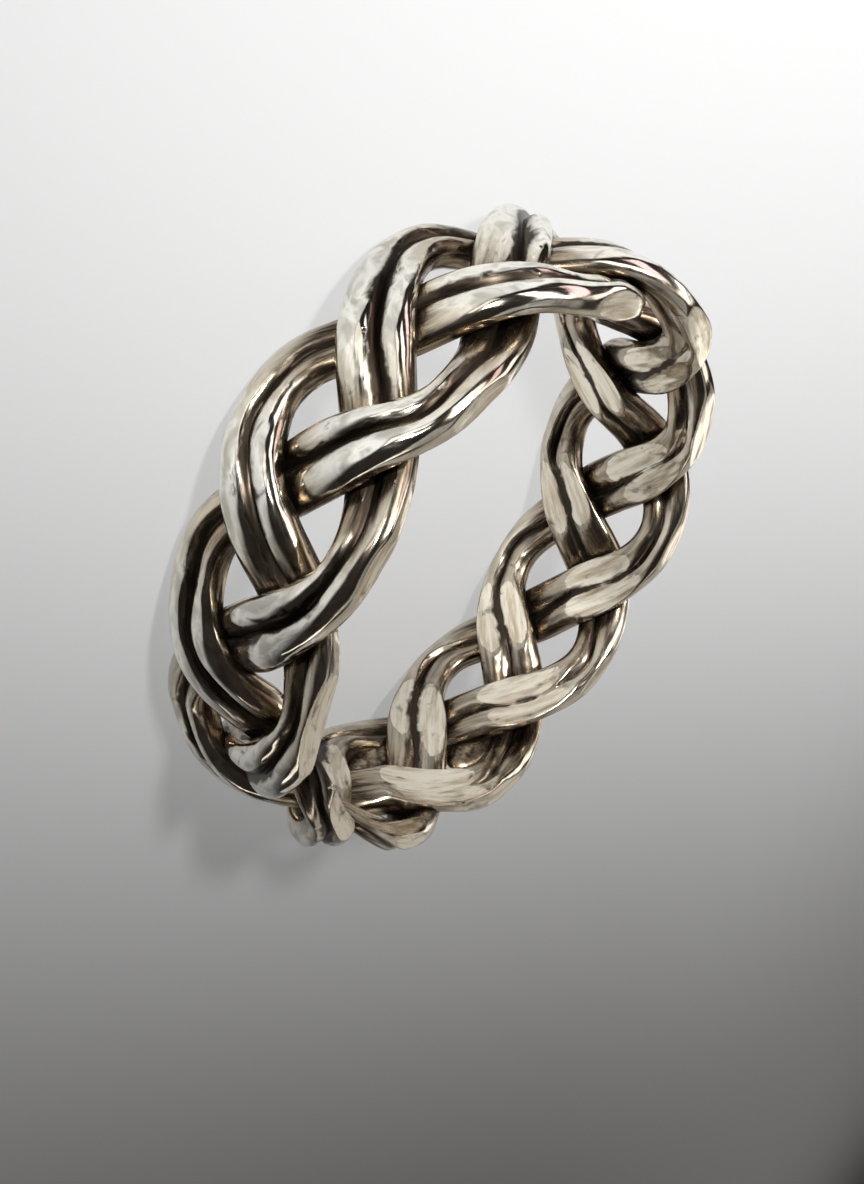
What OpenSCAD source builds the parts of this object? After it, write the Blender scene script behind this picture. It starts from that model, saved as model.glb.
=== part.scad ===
// A finger ring braided from one long double wire, lying on its side.
// The wire goes round the finger three times and its ends meet, so the braid has three
// strands at every place. Each time round is one solid. All lengths are in millimetres.
// The axis of the ring is Z, the rim it lies on is at z = 0, and the viewer stands at -Y.

/* [Band] */
// Finger hole across, where the inside has been polished flush
bore_d = 18.1;        // [16:0.1:20]
// Folds along each rim; it is one wire, three times round, unless this is a multiple of 3
folds = 11;           // [8:1:12]
// How far the middle of a strand swings up or down from the middle of the band
swing = 2.38;         // [2.0:0.02:2.8]
// How far the worn ring is out of round, each way
out_of_round = 0.3;   // [0:0.05:0.5]
// Which way it is longest, degrees from +X
long_way = 42;        // [0:1:180]
// Where the first fold of the upper rim stands, degrees from +X
first_fold = -113;    // [-180:1:180]

/* [Double wire] */
// Thickness of a strand, measured towards the finger
thick = 0.86;         // [0.7:0.02:1.0]
// Width of a strand halfway between two rims
wide_mid = 2.16;      // [1.8:0.02:2.3]
// Width of a strand where it folds at a rim
wide_fold = 1.46;     // [1.3:0.02:1.8]
// How far the two wires' middles lie apart, as a share of one wire's width
wire_pitch = 0.86;    // [0.75:0.01:0.9]
// How long a strand stays lifted over the one it crosses, as a share of the swing in and out
hold = 0.3;           // [0.1:0.05:0.4]
// Lean of a strand at the folds, degrees
lean = 4;             // [0:1:8]
// How deep a strand is pressed flat where another one crosses it
press = 0.14;         // [0.06:0.01:0.16]
// Room between two strands that cross, measured between their grooves' middles
cross_gap = 0.36;     // [0.32:0.01:0.5]

/* [Finish] */
// How much of the strands the polished hole cuts away
polish = 0.1;         // [0.02:0.02:0.14]
// Depth of the flat place inside the band, below the polished hole
pad_deep = 0.08;      // [0.02:0.02:0.1]
// Length of that flat round the finger
pad_long = 3.6;       // [2:0.1:4]
// The upper fold beside which the flat lies
pad_fold = 5;         // [0:1:7]
// Gap between the ends where the wire is joined
join_gap = 0.06;      // [0.04:0.01:0.1]
// Where the ends meet, counted in folds from the first one
join_at = 2.75;       // [0.25:0.5:10]

// How the handmade braid strays from an even one, seen from outside the ring:
// a row for each fold, counted from the first one, for the upper and the lower rim.
// rise is how much further out of the band a fold reaches, slip how far it is pushed along it.
UP_RISE = 0;  UP_SLIP = 1;  LOW_RISE = 2;  LOW_SLIP = 3;
STRAY = [
//   UP_RISE UP_SLIP LOW_RISE LOW_SLIP
    [ -0.1,   0.6,   -0.1,     0.0 ],
    [  0.0,   0.4,   -0.2,    -0.2 ],
    [  0.0,   0.2,    0.0,     0.0 ],
    [  0.0,   0.0,    0.0,     0.0 ],
    [  0.0,   0.0,    0.0,     0.0 ],
    [ -0.1,   0.0,    0.0,     0.0 ],
    [ -0.2,   0.2,    0.0,    -0.4 ],
    [  0.0,   0.3,    0.0,    -0.2 ],
    [  0.0,  -0.1,    0.0,     0.2 ],
    [  0.3,   0.0,   -0.3,    -0.5 ],
    [  0.0,   0.0,   -0.1,    -0.5 ],
];

/* [Hidden] */
silver = [0.78, 0.76, 0.72];
laps = 3;
count = round(folds);
lap_steps = 12 * count;                  // rings of points in one strand
quarter = 5;                             // sides in a quarter of a strand's section
sides = 4 * quarter;
// the swing in and out that lets two strands of this thickness pass each other
at_cross = sin(120) * (1 + hold);
weave = (thick - 2 * press * sin(120) + cross_gap) / (2 * at_cross);
most = max([for (p = [0:2:90]) sin(2 * p) - hold * sin(4 * p)]);
mean_r = bore_d / 2 + weave * most + thick / 2 - polish;
fold_step = 360 / count;
cycle = count / laps;                    // turns of the weave in one round
// angle of the lobe's outline from its outer side to the groove
groove = acos(-wire_pitch);

function unit(v) = v / norm(v);
function roll_in(n) = (n % count + count) % count;
function stray(n, column) = STRAY[roll_in(n) % len(STRAY)][column];
// how far a strand's weave runs ahead of the first one's, in thirds of a turn of it
function third(round) = count % laps == 0 ? round : (round * count) % laps;
// how near a phase is to a fold at the upper (side 1) or lower (side -1) rim
function near(phase, side) = pow((1 + side * cos(phase)) / 2, 2);

// Where strand number third is at an angle a round the finger, counted from the first fold:
// the phase of its weave, the folds next to it, its angle, height and distance from the axis
function weave_at(a, third) = a * cycle + third * 120;
function up_fold(phase, third) = laps * round(phase / 360) - third;
function low_fold(phase, third) = laps * floor(phase / 360) + 1 - third;
function turn(a, third) = let (p = weave_at(a, third)) a + first_fold
    + (near(p, 1) * stray(up_fold(p, third), UP_SLIP)
     + near(p, -1) * stray(low_fold(p, third), LOW_SLIP)) / mean_r * 180 / PI;
function height(a, third) = let (p = weave_at(a, third)) swing * cos(p)
    + near(p, 1) * stray(up_fold(p, third), UP_RISE)
    - near(p, -1) * stray(low_fold(p, third), LOW_RISE);
function oval(angle) = out_of_round * cos(2 * (angle - long_way));
function radius(a, third) = let (p = weave_at(a, third))
    mean_r + weave * (sin(2 * p) - hold * sin(4 * p)) + oval(turn(a, third));
function spot(a, third) = let (t = turn(a, third), r = radius(a, third))
    [r * cos(t), r * sin(t), height(a, third)];

// The polished hole, a little deeper on the bare flat
function on_pad(a, z) = let (at = first_fold + (pad_fold - 0.36) * fold_step,
        off = ((a - at) % 360 + 540) % 360 - 180)
    (abs(off) * PI / 180 * bore_d / 2 < pad_long / 2 && z > 0) ? pad_deep : 0;
function hole_r(a, z) = bore_d / 2 + oval(a) + on_pad(a, z);
function polished(p) = let (r = norm([p.x, p.y]), least = hole_r(atan2(p.y, p.x), p.z))
    r < least ? [p.x * least / r, p.y * least / r, p.z] : p;

// One section of a strand: two round wires grown together, a groove between them
function outline(i, half_wide, phase) = let (
        wire = half_wide / (1 + wire_pitch),
        q = floor(i / quarter), k = i - q * quarter,
        b = (q % 2 == 0 ? k : quarter - k) * groove / quarter,
        side = (q == 0 || q == 3) ? 1 : -1,
        face = q < 2 ? 1 : -1)
    [side * (wire_pitch + cos(b)) * wire,
     face * sin(b) * (thick / 2 - press * max(0, -face * sin(2 * phase)))];
function section(a, third) = let (
        phase = weave_at(a, third),
        p = spot(a, third),
        ahead = unit(spot(a + 0.3, third) - spot(a - 0.3, third)),
        t = turn(a, third),
        out = [cos(t), sin(t), 0],
        up = unit(out - (out * ahead) * ahead),
        across = cross(ahead, up),
        tilt = -lean * pow(cos(phase), 3),
        u = cos(tilt) * across + sin(tilt) * up,
        v = cos(tilt) * up - sin(tilt) * across,
        half = (wide_mid + (wide_fold - wide_mid) * pow(cos(phase), 2)) / 2)
    [for (i = [0:sides - 1]) let (o = outline(i, half, phase)) polished(p + o.x * u + o.y * v)];

join_angle = join_gap / mean_r * 180 / PI;
function angle_at(i) = join_at * fold_step + join_angle / 2
    + i / lap_steps * (360 - join_angle);
function centre(ring) = (ring[0] + ring[sides / 2]) / 2;
lowest = min([for (s = [0:laps - 1], i = [0:lap_steps])
    min([for (p = section(angle_at(i), third(s))) p.z])]);

module strand(round) {
    rings = [for (i = [0:lap_steps]) section(angle_at(i), third(round))];
    last = len(rings) - 1;
    points = concat([for (ring = rings) each ring], [centre(rings[0]), centre(rings[last])]);
    walls = [for (i = [0:last - 1], j = [0:sides - 1]) let (
            a = i * sides + j, b = i * sides + (j + 1) % sides,
            c = a + sides, d = b + sides)
        each [[a, b, d], [a, d, c]]];
    ends = [for (j = [0:sides - 1]) let (k = (j + 1) % sides, e = last * sides)
        each [[len(points) - 2, k, j], [len(points) - 1, e + j, e + k]]];
    color(silver) translate([0, 0, -lowest])
        polyhedron(points, concat(walls, ends), convexity = 10);
}

module strand_1() { strand(0); }
module strand_2() { strand(1); }
module strand_3() { strand(2); }

strand_1();
strand_2();
strand_3();
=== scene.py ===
# %% [markdown]
# # A braided silver band ring
#
# The ring is one flat braid of three leads, closed round the finger. Every lead is a double wire:
# two round wires that lie side by side and have grown together, with a dark groove between them.
# It lies on its side, and its lower rim rests on the floor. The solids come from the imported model,
# and this lesson dresses them: finer strands, the marks of the polishing wheel, and tarnish left
# where no wheel could reach.

# %% Load the solids
import math

import bpy
import numpy as np
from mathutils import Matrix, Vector
from mathutils.bvhtree import BVHTree


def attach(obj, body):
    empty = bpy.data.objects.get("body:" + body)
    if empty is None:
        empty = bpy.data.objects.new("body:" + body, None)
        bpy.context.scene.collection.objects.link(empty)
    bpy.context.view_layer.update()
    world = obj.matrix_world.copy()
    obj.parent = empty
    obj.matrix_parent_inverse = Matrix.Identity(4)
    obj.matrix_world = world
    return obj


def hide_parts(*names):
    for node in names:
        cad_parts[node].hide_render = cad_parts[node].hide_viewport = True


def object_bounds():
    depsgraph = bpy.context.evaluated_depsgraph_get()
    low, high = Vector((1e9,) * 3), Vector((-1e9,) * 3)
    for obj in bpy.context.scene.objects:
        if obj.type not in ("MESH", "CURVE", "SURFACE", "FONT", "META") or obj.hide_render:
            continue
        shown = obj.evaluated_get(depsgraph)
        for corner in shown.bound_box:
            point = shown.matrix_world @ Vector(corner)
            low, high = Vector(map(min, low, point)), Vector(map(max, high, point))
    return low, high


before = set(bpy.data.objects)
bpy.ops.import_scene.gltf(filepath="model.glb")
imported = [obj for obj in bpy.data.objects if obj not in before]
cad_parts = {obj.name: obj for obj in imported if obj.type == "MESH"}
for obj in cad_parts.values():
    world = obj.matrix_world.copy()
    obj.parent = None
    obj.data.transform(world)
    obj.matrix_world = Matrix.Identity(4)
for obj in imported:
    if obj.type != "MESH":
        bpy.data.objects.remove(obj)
bpy.ops.object.select_all(action="DESELECT")
cad_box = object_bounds()
print("solids:", sorted(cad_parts))

# %% [markdown]
# ## Sizes
#
# Blender works in metres and a ring is measured in millimetres, so one value turns one into the
# other. The sizes are those of the solids. A hand-made braid is never even: the short table has a
# place for each of the eleven folds of a rim. It says how much further out a fold reaches, how far
# it is pushed along the band, how many degrees it is rolled over, and how much deeper than the
# others it is worn flat. Only the last two are not in the solids.

# %% The ring's sizes
MM = 0.001
HOLE_ACROSS = 18.1
OUT_OF_ROUND = 0.3
LONG_WAY = 42  # degrees from +X
FOLDS = 11
ROUNDS = 3
FIRST_FOLD = -113  # degrees from +X
SWING = 2.38
THICK = 0.86
WIDE_MIDDLE = 2.16
WIDE_FOLD = 1.46
WIRE_PITCH = 0.86
HOLD = 0.3
LEAN = 4  # degrees
PRESS = 0.14
CROSS_GAP = 0.36
POLISH = 0.1
JOIN_AT = 2.75  # folds from the first one

STRAY = {
    "up_rise": (-0.1, 0.0, 0.0, 0.0, 0.0, -0.1, -0.2, 0.0, 0.0, 0.3, 0.0),
    "up_slip": (0.6, 0.4, 0.2, 0.0, 0.0, 0.0, 0.2, 0.3, -0.1, 0.0, 0.0),
    "low_rise": (-0.1, -0.2, 0.0, 0.0, 0.0, 0.0, 0.0, 0.0, 0.0, -0.3, -0.1),
    "low_slip": (0.0, -0.2, 0.0, 0.0, 0.0, 0.0, -0.4, -0.2, 0.2, -0.5, -0.5),
    "up_roll": (0, 0, 0, 50, 42, 0, 0, 0, 0, 0, 0),
    "low_roll": (0, 0, 0, 0, 0, 0, 0, 0, 0, 0, 0),
    "up_flat": (0.0, 0.0, 0.26, 0.26, 0.08, 0.0, 0.0, 0.0, 0.1, 0.1, 0.0),
    "low_flat": (0, 0, 0, 0, 0, 0, 0, 0, 0, 0, 0),
}
STRAY = {name: np.array(column) for name, column in STRAY.items()}

ROLLED_IN = 0.42  # how far a fold that is rolled quite over moves towards the finger
FOLD_STEP = 360 / FOLDS
THIRD_TURN = 120
at_crossing = math.sin(math.radians(THIRD_TURN))
WEAVE = (THICK - 2 * PRESS * at_crossing + CROSS_GAP) / (2 * at_crossing * (1 + HOLD))
quarter_turn = np.radians(np.arange(0, 91, 2))
FURTHEST = float(np.max(np.sin(2 * quarter_turn) - HOLD * np.sin(4 * quarter_turn)))
MEAN_RADIUS = HOLE_ACROSS / 2 + WEAVE * FURTHEST + THICK / 2 - POLISH
OUTSIDE = MEAN_RADIUS + WEAVE * FURTHEST + THICK / 2
print(f"the middle of the band is {MEAN_RADIUS:.2f} mm from the axis")

# %% [markdown]
# The solids keep a hair of air between the strands. In the cast ring they touch and have grown
# together, so the dressed strands are a little thicker. The outside stays where it is, and the
# extra silver goes inwards, where the wheel takes it off again and leaves wider flat places.

# %% Extra silver for the dressed strands
GROWN = 0.2
THICK += GROWN
WIRE_PITCH = 0.93
MEAN_RADIUS -= GROWN / 2
print(f"a strand is {THICK:.2f} mm thick before it is polished")

# %% [markdown]
# ## The way a strand goes
#
# Seen from the side a lead swings up and down like a wave, and seen from above it swings out over
# one neighbour and in under the next, twice as often. Three such waves, a third of a turn apart,
# are a braid. A point on a lead is named by its angle round the finger, so all its places can be
# worked out at once with arrays.

# %% Follow one strand
def phase_of(angle, third):
    """Where a strand is in its up and down swing. Third says which of the three waves it is."""
    return np.radians(angle * FOLDS / ROUNDS + third * THIRD_TURN)


def near_fold(phase, side):
    """1 at a fold of the upper (side 1) or lower (side -1) rim, and 0 at the other rim."""
    return ((1 + side * np.cos(phase)) / 2) ** 2


def strays(phase, third, what):
    """What the table says of the upper and the lower fold that are nearest."""
    turns = phase / (2 * np.pi)
    up = (ROUNDS * np.round(turns).astype(int) - third) % FOLDS
    low = (ROUNDS * np.floor(turns).astype(int) + 1 - third) % FOLDS
    return (near_fold(phase, 1) * STRAY["up_" + what][up],
            near_fold(phase, -1) * STRAY["low_" + what][low])


def oval(turn):
    """How much further from the axis the worn band is, in the direction of a turn."""
    return OUT_OF_ROUND * np.cos(2 * (turn - math.radians(LONG_WAY)))


def middle_of_strand(angle, third):
    """Points along the middle of a strand in millimetres, and the direction round the finger."""
    phase = phase_of(angle, third)
    turn = np.radians(angle + FIRST_FOLD) + sum(strays(phase, third, "slip")) / MEAN_RADIUS
    up, low = strays(phase, third, "rise")
    rolled = np.abs(np.sin(np.radians(sum(strays(phase, third, "roll")))))
    radius = (MEAN_RADIUS + WEAVE * (np.sin(2 * phase) - HOLD * np.sin(4 * phase))
              + oval(turn) - ROLLED_IN * rolled)
    height = SWING * np.cos(phase) + up - low
    return np.stack([radius * np.cos(turn), radius * np.sin(turn), height], -1), turn


def unit(vectors):
    return vectors / np.linalg.norm(vectors, axis=-1, keepdims=True)


# %% [markdown]
# ## The double wire
#
# Cut across, a strand is two circles that overlap, pressed a little flatter where another strand
# crosses it. A curve with a bevel profile could sweep such a shape, but it could only make it
# larger or smaller all over, and here the width changes and the thickness doesn't. So the outline
# is worked out for every place along the strand. Slow waves make the two wires uneven, and the
# groove between them is filled a little, most of all on the inside and at the folds.

# %% Outline of the double wire
SIDES = 64
RINGS = 792
GROOVE = math.acos(-WIRE_PITCH)
SOFT_GROOVE = 0.035
MERGED_FOLD = 0.08
UNEVEN_WIRES = 0.2
UNEVEN_WIDTH = 0.05
UNEVEN_FACE = 0.07
SOFT_EDGE = 0.015
RIM_FLAT = 0.1
OUTER_FLAT = 0.05
PAD_AT = FIRST_FOLD + 4.64 * FOLD_STEP
PAD_LONG = 3.6
PAD_DEEP = 0.08
PAD_FILL = 0.12
PAD_END_SOFT = 0.1
PAD_EDGE_SOFT = 0.2
INNER_FILL = 0.24
UNEVEN_FILL = 0.4
WAVES = ((11, 1.0), (30, 0.7), (68, 0.45))  # how many in the three rounds, and how large
HIGHEST_WAVE = 1.6
SEED_STEP = 7.3
EDGE_OF_WIRE = 0.001
AHEAD = 0.1  # degrees on and back to find which way the wire goes


def slow_wave(rounds, seed, pace=1.0):
    """A smooth wander between about -1 and 1 that meets itself again after the three rounds."""
    total = 0
    for count, size in WAVES:
        start = seed * (SEED_STEP + count)
        total = total + size * np.sin(2 * np.pi * round(pace * count) * rounds / ROUNDS + start)
    return total / HIGHEST_WAVE


def on_flat_place(turn, height):
    """1 at the small flat place inside the band, and 0 away from it."""
    away = np.abs(np.angle(np.exp(1j * (turn - math.radians(PAD_AT))))) * HOLE_ACROSS / 2
    along_band = 1 / (1 + np.exp((away - PAD_LONG / 2) / PAD_END_SOFT))
    upper_half = 1 / (1 + np.exp(-height / PAD_EDGE_SOFT))
    return along_band * upper_half


def double_wire(phase, rounds, rolled, filled):
    """How far across and out each point of the outline is, and how deep in the groove."""
    side = np.arange(SIDES)
    in_quarter = SIDES // 4
    quarter, step = side // in_quarter, side % in_quarter
    step = np.where(quarter % 2 == 0, step, in_quarter - step)
    angle = step * GROOVE / in_quarter
    left_right = np.where((quarter == 0) | (quarter == 3), 1, -1)
    face = np.where(quarter < 2, 1, -1)
    half = (WIDE_MIDDLE + (WIDE_FOLD - WIDE_MIDDLE) * np.cos(phase) ** 2)[:, None] / 2
    half = half * (1 + UNEVEN_WIDTH * slow_wave(rounds, 5, 1.3)[:, None])
    wire = half / (1 + WIRE_PITCH)
    reach = WIRE_PITCH + np.cos(angle)
    across = left_right * reach * wire
    height = np.sin(angle) + 0 * half
    next_wire = np.sqrt(np.clip(1 - (reach + WIRE_PITCH) ** 2, 0, None))
    at_fold = MERGED_FOLD * (np.cos(phase) ** 2 * (1 - rolled))
    inside = INNER_FILL * (1 + UNEVEN_FILL * slow_wave(rounds, 8)) + PAD_FILL * filled
    soft = SOFT_GROOVE + at_fold[:, None] + inside[:, None] * (face < 0)
    above = (height - next_wire) * THICK / 2 / soft
    height = height + soft / (THICK / 2) * np.log1p(np.exp(-above))
    shift = UNEVEN_WIRES * slow_wave(rounds, 1)[:, None]
    across = across + shift * (1 - (across / half) ** 2)
    pressed = PRESS * np.maximum(0, -face * np.sin(2 * phase)[:, None])
    lump = 0
    for one_face in (1, -1):
        for one_wire in (1, -1):
            wave = slow_wave(rounds, 11 * one_face + 3 * one_wire, 1.6)[:, None]
            lump = lump + wave * (face == one_face) * (left_right == one_wire)
    out = face * (height * (THICK / 2 - pressed)) * (1 + UNEVEN_FACE * (lump - 1))
    groove = (THICK / 2) * (1 - np.minimum(height, 1)) * (reach < WIRE_PITCH)
    at_edge = np.sin(angle) <= EDGE_OF_WIRE
    return across, np.where(at_edge, 0, out), groove


def soft_limit(distance):
    """Keeps a distance above nothing, with a soft bend instead of a corner."""
    return SOFT_EDGE * np.logaddexp(0, distance / SOFT_EDGE)


def strand_points(number, third, start):
    """All the points of one strand in millimetres, ring by ring, with what the finish needs:
    how far along, across and out each lies, how deep in the groove, and where the rims are."""
    angle = JOIN_AT * FOLD_STEP + np.linspace(0, 360, RINGS + 1)
    phase = phase_of(angle, third)
    middle, turn = middle_of_strand(angle, third)
    ahead = unit(middle_of_strand(angle + AHEAD, third)[0]
                 - middle_of_strand(angle - AHEAD, third)[0])
    outward = np.stack([np.cos(turn), np.sin(turn), 0 * turn], -1)
    up = unit(outward - (outward * ahead).sum(-1, keepdims=True) * ahead)
    across = np.cross(ahead, up)
    roll = np.radians(sum(strays(phase, third, "roll")))
    tilt = (roll - math.radians(LEAN) * np.cos(phase) ** 3)[:, None]
    wide_way = np.cos(tilt) * across + np.sin(tilt) * up
    thick_way = np.cos(tilt) * up - np.sin(tilt) * across
    steps = np.linalg.norm(np.diff(middle, axis=0), axis=1)
    along = start + np.concatenate([[0], np.cumsum(steps)])
    rounds = number + np.linspace(0, 1, RINGS + 1)
    filled = on_flat_place(turn, middle[:, 2])
    wide, out, groove = double_wire(phase, rounds, np.abs(np.sin(roll)), filled)
    places = (middle[:, None] + wide[..., None] * wide_way[:, None]
              + out[..., None] * thick_way[:, None])
    rise = np.stack(strays(phase, third, "rise"))[..., None]
    worn = np.stack(strays(phase, third, "flat"))[..., None]
    rims = SWING + WIDE_FOLD / 2 - RIM_FLAT + rise - worn
    drawn = np.stack([np.broadcast_to(along[:, None], wide.shape), wide, out], -1)
    return places, drawn, groove, rims


# %% [markdown]
# ## The work of the wheel
#
# The inside of the band was ground and polished to one smooth hole, and wear took a little off the
# two rims and the outside. All of it leaves flat places on the strands. Cutting with a cylinder
# would do the same, but pushing every point that sticks out back to the wheel keeps the strand's
# even faces, and the highlights stay clean. The change from round to flat is softened over a few
# hundredths of a millimetre. How deep each point lay is measured first, because the finish is
# brightest where most silver came off.

# %% Push the points back to the wheel
def hole_radius(points):
    turn = np.arctan2(points[..., 1], points[..., 0])
    return HOLE_ACROSS / 2 + oval(turn) + PAD_DEEP * on_flat_place(turn, points[..., 2])


def wheel_depths(points, rims):
    """How far each point is from the outside, from the hole and from the flat rims, in mm.
    Below nothing is silver that the wheel takes off."""
    turn = np.arctan2(points[..., 1], points[..., 0])
    radius = np.hypot(points[..., 0], points[..., 1])
    return np.stack([OUTSIDE + oval(turn) - radius, radius - hole_radius(points),
                     np.minimum(rims[0] - points[..., 2], rims[1] + points[..., 2])], -1)


def polish(points, rims):
    """Moves the points that the wheel reaches: first at the rims, then inside and outside."""
    points[..., 2] = rims[0] - soft_limit(rims[0] - points[..., 2])
    points[..., 2] = soft_limit(points[..., 2] + rims[1]) - rims[1]
    least = hole_radius(points)
    radius = np.hypot(points[..., 0], points[..., 1])
    most = OUTSIDE - OUTER_FLAT + oval(np.arctan2(points[..., 1], points[..., 0]))
    not_over = most - soft_limit(most - radius)
    polished = least + soft_limit(not_over - least)
    points[..., :2] *= (polished / radius)[..., None]


HAIR = 0.002
BAND_WIDE = cad_box[1][2] / MM - HAIR
THIRDS = (0, 2, 1)  # the wire meets the three waves in this order on its way round
strands = []
drawn_so_far = 0
for number, third in enumerate(THIRDS):
    points, drawn, groove, rims = strand_points(number, third, drawn_so_far)
    drawn_so_far = drawn[-1, 0, 0]
    depths = wheel_depths(points, rims)
    polish(points, rims)
    strands.append([points, drawn, depths, groove])

# The finish runs to the middle of the wire and back, so that it matches where the ends meet.
for _, drawn, _, _ in strands:
    drawn[..., 0] = np.minimum(drawn[..., 0], drawn_so_far - drawn[..., 0])

# The lower rim comes to rest on the floor, and the band is a hair less wide than the solids.
lowest = min(points[..., 2].min() for points, *_ in strands)
highest = max(points[..., 2].max() for points, *_ in strands)
for points, *_ in strands:
    points[..., 2] = (points[..., 2] - lowest) * BAND_WIDE / (highest - lowest)
print(f"the band is {max(points[..., 2].max() for points, *_ in strands):.2f} mm wide")

# %% [markdown]
# ## Roll a sheet into a strand
#
# Blender's grid is a flat sheet of squares. One way of it becomes the length of the strand and
# the other goes round it. Each corner moves to its place, and the two long edges are merged where
# they meet. The ends stay open for now. What was measured goes along as attributes of the mesh:
# the way the wire was drawn, which the scratches follow, the depths and the groove.

# %% Make the three strands
SAME_PLACE = 0.001 * MM


def roll_strand(name, points, **kept):
    bpy.ops.mesh.primitive_grid_add(x_subdivisions=RINGS, y_subdivisions=SIDES, size=2)
    strand = bpy.context.object
    strand.name = strand.data.name = name
    corners = len(strand.data.vertices)
    sheet = np.empty(corners * 3)
    strand.data.vertices.foreach_get("co", sheet)
    sheet = sheet.reshape(-1, 3)
    along = np.rint((sheet[:, 0] + 1) / 2 * RINGS).astype(int)
    around = np.rint((sheet[:, 1] + 1) / 2 * SIDES).astype(int) % SIDES
    strand.data.vertices.foreach_set("co", (points[along, around] * MM).ravel())
    for what, values in kept.items():
        kind, field = ("FLOAT_VECTOR", "vector") if values.ndim == 3 else ("FLOAT", "value")
        layer = strand.data.attributes.new(what, kind, "POINT")
        layer.data.foreach_set(field, values[along, around].ravel())
    bpy.ops.object.mode_set(mode="EDIT")
    bpy.ops.mesh.select_all(action="SELECT")
    bpy.ops.mesh.remove_doubles(threshold=SAME_PLACE)
    bpy.ops.mesh.normals_make_consistent(inside=False)
    bpy.ops.object.mode_set(mode="OBJECT")
    strand.select_set(False)
    print(name, len(strand.data.polygons), "faces")
    return strand


pieces = []
for number, (points, drawn, depths, groove) in enumerate(strands, 1):
    strand = roll_strand(f"silver_strand_{number}", points,
                         drawn=drawn, depths=depths, groove=groove)
    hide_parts(f"strand_{number}")
    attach(strand, "root")
    pieces.append(strand)

# %% [markdown]
# ## Two blind openings
#
# Beside the flat place inside the band, two openings of the braid were never pierced: silver ran
# into them when the ring was cast. A squashed ball with an uneven face, sunk between the strands,
# gives the pit its dark bottom. No wheel reached it, so it keeps the rough skin of the casting.

# %% Fill the blind openings
FAR_FROM_WHEEL = 2.0
SKIN_SCALE = 0.4
RIPPLE = 0.08


def blind_opening(name, angle, height, out, size):
    """A ball squashed to a size, in the direction of an angle, up and out from the axis."""
    bpy.ops.mesh.primitive_uv_sphere_add(segments=48, ring_count=24, radius=MM)
    web = bpy.context.object
    web.name = web.data.name = name
    turn = math.radians(angle)
    centre = Vector((out * math.cos(turn), out * math.sin(turn), height)) * MM
    away = Vector((math.cos(turn), math.sin(turn), 0))
    across = Vector((-away.y, away.x, 0))
    layer = web.data.attributes.new("depths", "FLOAT_VECTOR", "POINT")
    layer.data.foreach_set("vector", np.full(3 * len(web.data.vertices), FAR_FROM_WHEEL))
    layer = web.data.attributes.new("drawn", "FLOAT_VECTOR", "POINT")
    skin = [SKIN_SCALE * place / MM * wide for vertex in web.data.vertices
            for place, wide in zip(vertex.co, size)]
    layer.data.foreach_set("vector", skin)
    for vertex in web.data.vertices:
        x, y, z = vertex.co
        ripple = 1 + RIPPLE * math.sin(9 * x / MM + 4 * z / MM) * math.cos(7 * y / MM)
        vertex.co = (centre + away * x * size[0] * ripple + across * y * size[1]
                     + Vector((0, 0, z * size[2])))
    bpy.ops.object.shade_smooth()
    web.select_set(False)
    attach(web, "root")
    print(name, len(web.data.polygons), "faces")
    return web


pieces.append(blind_opening("web_lower", 38.5, 1.75, 10.25, (0.28, 1.5, 0.95)))
pieces.append(blind_opening("web_upper", 58.0, 3.9, 10.25, (0.28, 1.7, 0.9)))

# %% [markdown]
# ## Where the tarnish stays
#
# Silver goes brown-black in air. A polishing wheel takes that off wherever it reaches, and leaves
# it in the grooves, under the crossings and on the sides of the openings. To find those places,
# rays go out from every point of the strands: the more of them that soon meet silver, the more
# hidden the point is. The share is kept on the mesh, so the finish stays the same in any view.

# %% Measure how hidden each point is
CREVICE = 0.6
REACH = 2.4
RAYS = 64
CLEAR = 0.01
GRAZING = 0.1


def even_directions(count):
    """Directions spread evenly over a ball, along a spiral from its top to its bottom."""
    step = np.arange(count) + 0.5
    height = 1 - 2 * step / count
    turn = step * math.pi * (3 - math.sqrt(5))
    flat = np.sqrt(1 - height ** 2)
    return [Vector(d) for d in zip(flat * np.cos(turn), flat * np.sin(turn), height)]


def mesh_tree(objects):
    corners, faces = [], []
    for piece in objects:
        start = len(corners)
        corners += [vertex.co.copy() for vertex in piece.data.vertices]
        faces += [[start + corner for corner in face.vertices] for face in piece.data.polygons]
    return BVHTree.FromPolygons(corners, faces)


def measure_hidden(objects):
    """Keeps on each mesh the share of rays that meet silver, and counts near silver for more."""
    tree = mesh_tree(objects)
    directions = even_directions(RAYS)
    for piece in objects:
        crevice, shade = [], []
        for vertex in piece.data.vertices:
            normal = vertex.normal
            start = vertex.co + normal * CLEAR * MM
            total = near = far = 0.0
            for ray in directions:
                facing = ray.dot(normal)
                if facing > GRAZING:
                    total += facing
                    reach = tree.ray_cast(start, ray, REACH * MM)[3]
                    if reach is not None:
                        far += facing
                        near += facing * max(0, 1 - reach / (CREVICE * MM))
            crevice.append(near / total)
            shade.append(far / total)
        for name, values in (("crevice", crevice), ("shade", shade)):
            layer = piece.data.attributes.new(name, "FLOAT", "POINT")
            layer.data.foreach_set("value", values)
            print(piece.name, name, "mean", round(float(np.mean(values)), 3))


measure_hidden(pieces)

# %% [markdown]
# The ends of the strands are closed only now. A cap would turn the directions of the last points
# aside, and the rays would find a dark line where one strand meets the next.

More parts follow.
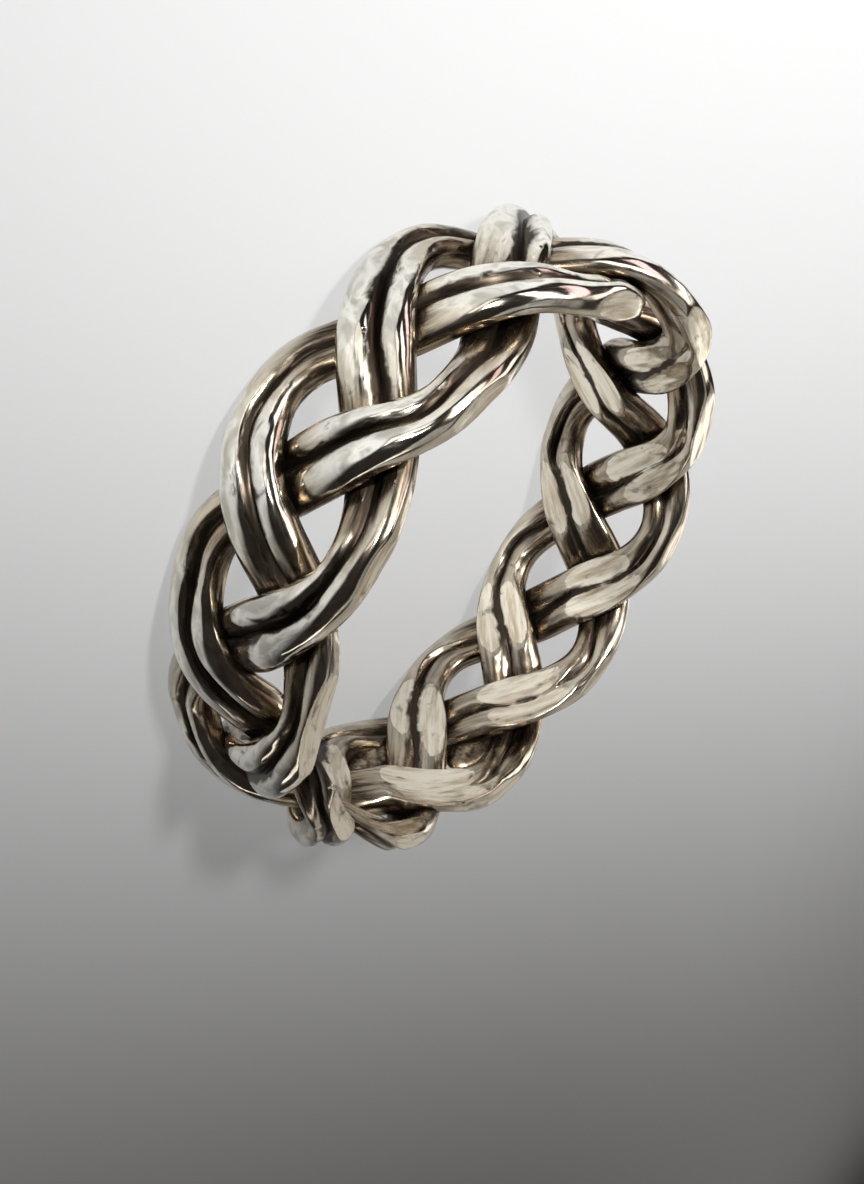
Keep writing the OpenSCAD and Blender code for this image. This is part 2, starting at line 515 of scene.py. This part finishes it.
# %% Close the ends
SHARP = math.radians(60)
for strand in pieces[:ROUNDS]:
    bpy.context.view_layer.objects.active = strand
    strand.select_set(True)
    bpy.ops.object.mode_set(mode="EDIT")
    bpy.ops.mesh.select_mode(type="EDGE")
    bpy.ops.mesh.select_all(action="DESELECT")
    bpy.ops.mesh.select_non_manifold()
    bpy.ops.mesh.fill()
    bpy.ops.mesh.select_all(action="SELECT")
    bpy.ops.mesh.normals_make_consistent(inside=False)
    bpy.ops.object.mode_set(mode="OBJECT")
    bpy.ops.object.shade_smooth_by_angle(angle=SHARP)
    strand.select_set(False)
    print(strand.name, len(strand.data.polygons), "faces, closed")

# %% [markdown]
# ## Silver
#
# One material dresses the whole ring, and what was measured on the meshes says where each finish
# goes. The outside is bright and slightly warm, with grey clouds. Towards the dips and beside the
# hollows it turns golden, partly a thin tarnish film and partly a painted warm reflection.
# The flats of the hole and the rims are worn, paler and duller, with brown scratches along the
# wire. The sides that no wheel reached are brown and streaked, and the grooves, crossings and pits
# are nearly black. Every edge between two finishes is broken up with the same streaky noise.

# %% Helpers for the finish
def node(tree, kind, **values):
    made = tree.nodes.new(kind)
    for key, value in values.items():
        if key in made.inputs:
            made.inputs[key].default_value = value
        else:
            setattr(made, key, value)
    return made


class Finish:
    """Adds nodes to one material and joins them, so that a recipe reads from top to bottom."""

    def __init__(self, name):
        self.material = bpy.data.materials.new(name)
        self.material.use_nodes = True
        self.tree = self.material.node_tree
        self.shader = self.tree.nodes["Principled BSDF"]

    def join(self, source, target):
        self.tree.links.new(source, target)

    def attribute(self, name, vector=False):
        made = node(self.tree, "ShaderNodeAttribute", attribute_name=name)
        return made.outputs["Vector" if vector else "Fac"]

    def parts(self, source):
        made = node(self.tree, "ShaderNodeSeparateXYZ")
        self.join(source, made.inputs[0])
        return made.outputs

    def stretch(self, source, scale):
        made = node(self.tree, "ShaderNodeMapping", Scale=scale)
        self.join(source, made.inputs["Vector"])
        return made.outputs["Vector"]

    def noise(self, source, scale, detail=3.0, roughness=0.55, distortion=0.0):
        made = node(self.tree, "ShaderNodeTexNoise", Scale=scale, Detail=detail,
                 Roughness=roughness, Distortion=distortion)
        self.join(source, made.inputs["Vector"])
        return made.outputs["Fac"]

    def combine(self, operation, a, b, c=0.0):
        made = node(self.tree, "ShaderNodeMath", operation=operation)
        for socket, value in zip(made.inputs, (a, b, c)):
            if isinstance(value, (int, float)):
                socket.default_value = value
            else:
                self.join(value, socket)
        return made.outputs[0]

    def scaled(self, value, factor, plus):
        """A value times a factor, plus something."""
        return self.combine("MULTIPLY_ADD", value, factor, plus)

    def most(self, a, b):
        return self.combine("MAXIMUM", a, b)

    def between(self, source, low, high, to_low=0.0, to_high=1.0):
        """Goes softly from to_low to to_high while the source goes from low to high."""
        made = node(self.tree, "ShaderNodeMapRange", interpolation_type="SMOOTHSTEP")
        for key, value in zip(("From Min", "From Max", "To Min", "To Max"),
                              (low, high, to_low, to_high)):
            made.inputs[key].default_value = value
        self.join(source, made.inputs["Value"])
        return made.outputs["Result"]

    def mix(self, factor, a, b):
        made = node(self.tree, "ShaderNodeMix", data_type="RGBA")
        for socket, value in ((made.inputs[0], factor), (made.inputs[6], a), (made.inputs[7], b)):
            if isinstance(value, tuple):
                socket.default_value = (*value, 1)
            else:
                self.join(value, socket)
        return made.outputs[2]


# %% Polished and tarnished silver
BRIGHT = (0.94, 0.92, 0.845)
CLOUDED = (0.53, 0.51, 0.45)
# The golden colour is partly a thin tarnish film and partly a painted warm reflection.
GOLDEN_FILM_AND_REFLECTION = (0.87, 0.76, 0.56)
WORN = (0.93, 0.87, 0.73)
SCRATCHED = (0.58, 0.48, 0.345)
PALE_BROWN = (0.43, 0.345, 0.24)
DARK_BROWN = (0.040, 0.031, 0.024)
SOOTY = (0.085, 0.067, 0.050)
BLACK = (0.022, 0.017, 0.013)
DENT = 0.10 * MM


def silver_material():
    silver = Finish("polished_silver")
    drawn = silver.attribute("drawn", vector=True)
    crevice = silver.attribute("crevice")
    shade = silver.attribute("shade")
    groove = silver.attribute("groove")
    outer, inner, rim = silver.parts(silver.attribute("depths", vector=True))

    # Each noise has a smaller scale along the wire than across, which draws it out.
    streaks = silver.noise(silver.stretch(drawn, (0.5, 3.4, 3.4)), 1.0, detail=5, roughness=0.62)
    clouds = silver.noise(silver.stretch(drawn, (1.0, 1.6, 1.6)), 1.1, detail=3, distortion=0.6)
    fine = silver.noise(silver.stretch(drawn, (2.0, 14, 14)), 1.0, detail=2)
    grain = silver.noise(silver.stretch(drawn, (0.35, 5.5, 5.5)), 1.0, detail=4, roughness=0.6)
    dents = silver.noise(silver.stretch(drawn, (0.8, 2.2, 2.2)), 1.0, detail=1)
    rough_edge = silver.scaled(streaks, 0.9, -0.45)

    def past(depth, low, high, streaky=1.0, full=1.0):
        """Nothing at low and full at high, with a streaky edge between them."""
        return silver.between(silver.scaled(rough_edge, streaky, depth), low, high, to_high=full)

    # Where the wheel reached, from the depths in millimetres
    outside = past(outer, 0.84, 0.36)
    hole_flat = past(inner, -0.05, -0.08, streaky=0.16)
    near_hole = past(inner, 0.45, 0.05, full=0.32)
    rim_flat = past(rim, 0.01, -0.02, streaky=0.10)
    near_rim = past(rim, 0.8, 0.25, full=0.7)
    flat = silver.most(hole_flat, rim_flat)
    reached = silver.most(silver.most(flat, near_hole), silver.most(outside, near_rim))

    # Where it is black: in hollows, along the grooves and in scattered pits
    hidden = silver.scaled(shade, 0.35, crevice)
    hollow = past(hidden, 0.38, 0.60, streaky=0.6)
    wander = silver.scaled(clouds, 0.4, -0.2)
    line = silver.between(silver.scaled(wander, 1.0, groove), 0.03, 0.12)
    spots = node(silver.tree, "ShaderNodeTexVoronoi", Scale=1.0)
    silver.join(silver.stretch(drawn, (0.5, 0.5, 0.5)), spots.inputs["Vector"])
    pits = silver.between(spots.outputs["Distance"], 0.045, 0.02)
    dirt = silver.most(silver.most(hollow, line), pits)

    # Colours, from the clean outside to the black grooves
    bright = silver.mix(silver.between(clouds, 0.35, 0.6), CLOUDED, BRIGHT)
    # Towards the dips and beside the hollows the silver turns golden: partly a thin tarnish film,
    # partly a painted warm reflection.
    dipped = past(outer, 0.12, 0.60, full=0.42)
    tucked = past(hidden, 0.06, 0.38, streaky=0.8, full=0.9)
    clean = silver.mix(silver.most(dipped, tucked), bright, GOLDEN_FILM_AND_REFLECTION)
    worn = silver.mix(silver.between(streaks, 0.42, 0.68), WORN, SCRATCHED)
    clean = silver.mix(flat, clean, worn)
    brown = silver.mix(silver.between(grain, 0.36, 0.64), DARK_BROWN, PALE_BROWN)
    black = silver.mix(fine, BLACK, SOOTY)
    some = silver.mix(reached, brown, clean)
    silver.join(silver.mix(dirt, some, black), silver.shader.inputs["Base Color"])

    # The less the wheel did, the duller the silver is.
    roughness = silver.scaled(clouds, 0.06, silver.between(fine, 0.3, 0.8, 0.05, 0.11))
    roughness = silver.scaled(silver.combine("SUBTRACT", 1.0, reached), 0.16, roughness)
    roughness = silver.scaled(flat, 0.08, roughness)
    roughness = silver.scaled(dirt, 0.20, roughness)
    silver.join(roughness, silver.shader.inputs["Roughness"])

    # Shallow dents, fine scratches and pits
    relief = silver.scaled(fine, 0.03, dents)
    relief = silver.scaled(pits, -0.6, relief)
    bump = node(silver.tree, "ShaderNodeBump", Strength=0.5, Distance=DENT)
    silver.join(relief, bump.inputs["Height"])
    silver.join(bump.outputs["Normal"], silver.shader.inputs["Normal"])
    silver.shader.inputs["Metallic"].default_value = 1.0
    print(silver.material.name, len(silver.tree.nodes), "nodes")
    return silver.material


silver = silver_material()
for piece in pieces:
    piece.data.materials.clear()
    piece.data.materials.append(silver)

# %% [markdown]
# Polished metal throws small bright patches of light on the table all round it. With so few rays
# they turn into a pale halo, so the table doesn't look for light that the ring throws.

# %% Keep the ring's own light off the table
for piece in pieces:
    piece.visible_diffuse = False
print(len(pieces), "pieces of silver")

# %% [markdown]
# ## The table
#
# The ring lies on a plain pale sheet of paper, a little rough and without any shine of its own.

# %% Floor
PAPER = (0.8, 0.8, 0.8, 1)
bpy.ops.mesh.primitive_plane_add(size=3)
floor = bpy.context.object
floor.name = "floor"
paper = bpy.data.materials.new("pale_paper")
paper.use_nodes = True
paper_shader = paper.node_tree.nodes["Principled BSDF"]
paper_shader.inputs["Base Color"].default_value = PAPER
paper_shader.inputs["Roughness"].default_value = 0.6
floor.data.materials.append(paper)
floor.select_set(False)
print("the floor is", round(floor.dimensions.x, 2), "m wide")

# %% [markdown]
# ## Lights
#
# Polished metal shows what is round it, so soft boxes and the dark between them draw the wires. A
# mirror needs large dim lamps and a table needs one strong one, and no lamp is both. Blender lets
# a lamp light only chosen things, so the ring and the table get lamps of their own. Two lamps give
# the table its even fall of light, and nothing blocks them. A third, smaller one is blocked by the
# ring, and so it alone makes the soft shadow.

# %% Soft boxes
def group(name, objects):
    bpy.ops.collection.create(name=name)
    for thing in objects:
        bpy.data.collections[name].objects.link(thing)
    return bpy.data.collections[name]


only_ring = group("only_ring", pieces)
only_floor = group("only_floor", [floor])
WIDEST = 179


def soft_box(name, place, size, brightness, colour=(1, 1, 1), spread=180, aim=(0, 0, 0),
             lights=only_ring, blocked_by=None):
    """A lamp that faces its aim. Its brightness is what a mirror would show, and 1 is white.
    A narrow spread loses light at the sides, so the energy is lowered by the share it loses."""
    bpy.ops.object.light_add(type="AREA", location=[part * MM for part in place])
    light = bpy.context.object
    light.name = name
    light.data.shape = "RECTANGLE"
    light.data.size = size[0] * MM
    light.data.size_y = size[1] * MM
    half = math.radians(min(spread, WIDEST)) / 2
    kept = 1 - half / math.tan(half)
    light.data.energy = brightness * math.pi * size[0] * size[1] * MM ** 2 * kept
    light.data.color = colour
    light.data.spread = math.radians(spread)
    light.rotation_euler = (Vector(aim) - Vector(place)).to_track_quat("-Z", "Y").to_euler()
    light.light_linking.receiver_collection = lights
    light.light_linking.blocker_collection = blocked_by
    light.select_set(False)
    print(name, "of", size[0], "by", size[1], "mm")
    return light


def card(name, round_about, height, away, wide, high, brightness, colour=(1, 1, 1), **more):
    """A soft box named by where it hangs: degrees round the ring, degrees up, and how far away."""
    turn = math.radians(round_about)
    up = math.radians(height)
    way = (math.cos(up) * math.cos(turn), math.cos(up) * math.sin(turn), math.sin(up))
    place = [away * part for part in way]
    return soft_box(name, place, (wide, high), brightness, colour, **more)


# %% Lamps for the table
soft_box("table_light", (-38, -52, 67), (104, 104), 29, spread=63, aim=(-70, 79, 0),
         lights=only_floor, blocked_by=only_floor)
soft_box("table_fill", (30, 230, 140), (200, 200), 0.36, aim=(30, 230, 0),
         lights=only_floor, blocked_by=only_floor)
soft_box("shadow_light", (-48, -66, 74), (14, 14), 46, lights=only_floor)

# %% Lamps for the ring
WALL = (1, 0.96, 0.9)
WINDOW = (1, 0.97, 0.92)
PINK = (1, 0.72, 0.74)
WARM = (1, 0.95, 0.88)
AMBER = (1, 0.93, 0.84)
card("wall_card", 74, 30, 90, 165, 96, 0.45, WALL)
card("wall_bright", 106, 14, 82, 24, 36, 1.0, WALL)
card("window_left", 154, 40, 80, 24, 70, 2.15, WINDOW)
card("window_low", -168, 36, 80, 20, 74, 1.4, PINK)
card("window_near", -139, 36, 80, 19, 60, 2.4, WINDOW)
card("bounce_near", -106, 4, 80, 38, 16, 1.5, WARM)
card("strip_right", 4, 34, 80, 10, 90, 1.5, AMBER)
card("overhead", 30, 82, 110, 70, 70, 0.38)
card("spark_near", -104, 21, 86, 6, 6, 480, WINDOW, spread=44)
card("spark_left", -150, 58, 90, 3, 3, 1900, WINDOW, spread=44)

# %% The dark of the room
ROOM = (0.024, 0.020, 0.0175, 1)
world = bpy.context.scene.world or bpy.data.worlds.new("studio")
bpy.context.scene.world = world
world.use_nodes = True
background = world.node_tree.nodes["Background"]
background.inputs["Color"].default_value = ROOM
background.inputs["Strength"].default_value = 1.0
bpy.context.scene.view_settings.view_transform = "Standard"

# %% [markdown]
# ## Camera
#
# The ring was seen from close by and from well above, with the camera rolled over. Its place and
# its turn were fitted until the folds of the braid lay where the picture shows them.

# %% Camera
CAMERA_AT = (0.683, -45.468, 26.481)
CAMERA_TURN = (-47.220, -48.031, 144.258)
bpy.ops.object.camera_add(location=[part * MM for part in CAMERA_AT])
camera = bpy.context.object
camera.name = "photo_camera"
camera.rotation_euler = [math.radians(angle) for angle in CAMERA_TURN]
camera.data.sensor_fit = "VERTICAL"
camera.data.sensor_height = 24
camera.data.lens = 31.622
camera.data.clip_start = 1 * MM
bpy.context.scene.camera = camera
print("the camera is", round(camera.location.length / MM), "mm from the middle of the ring")
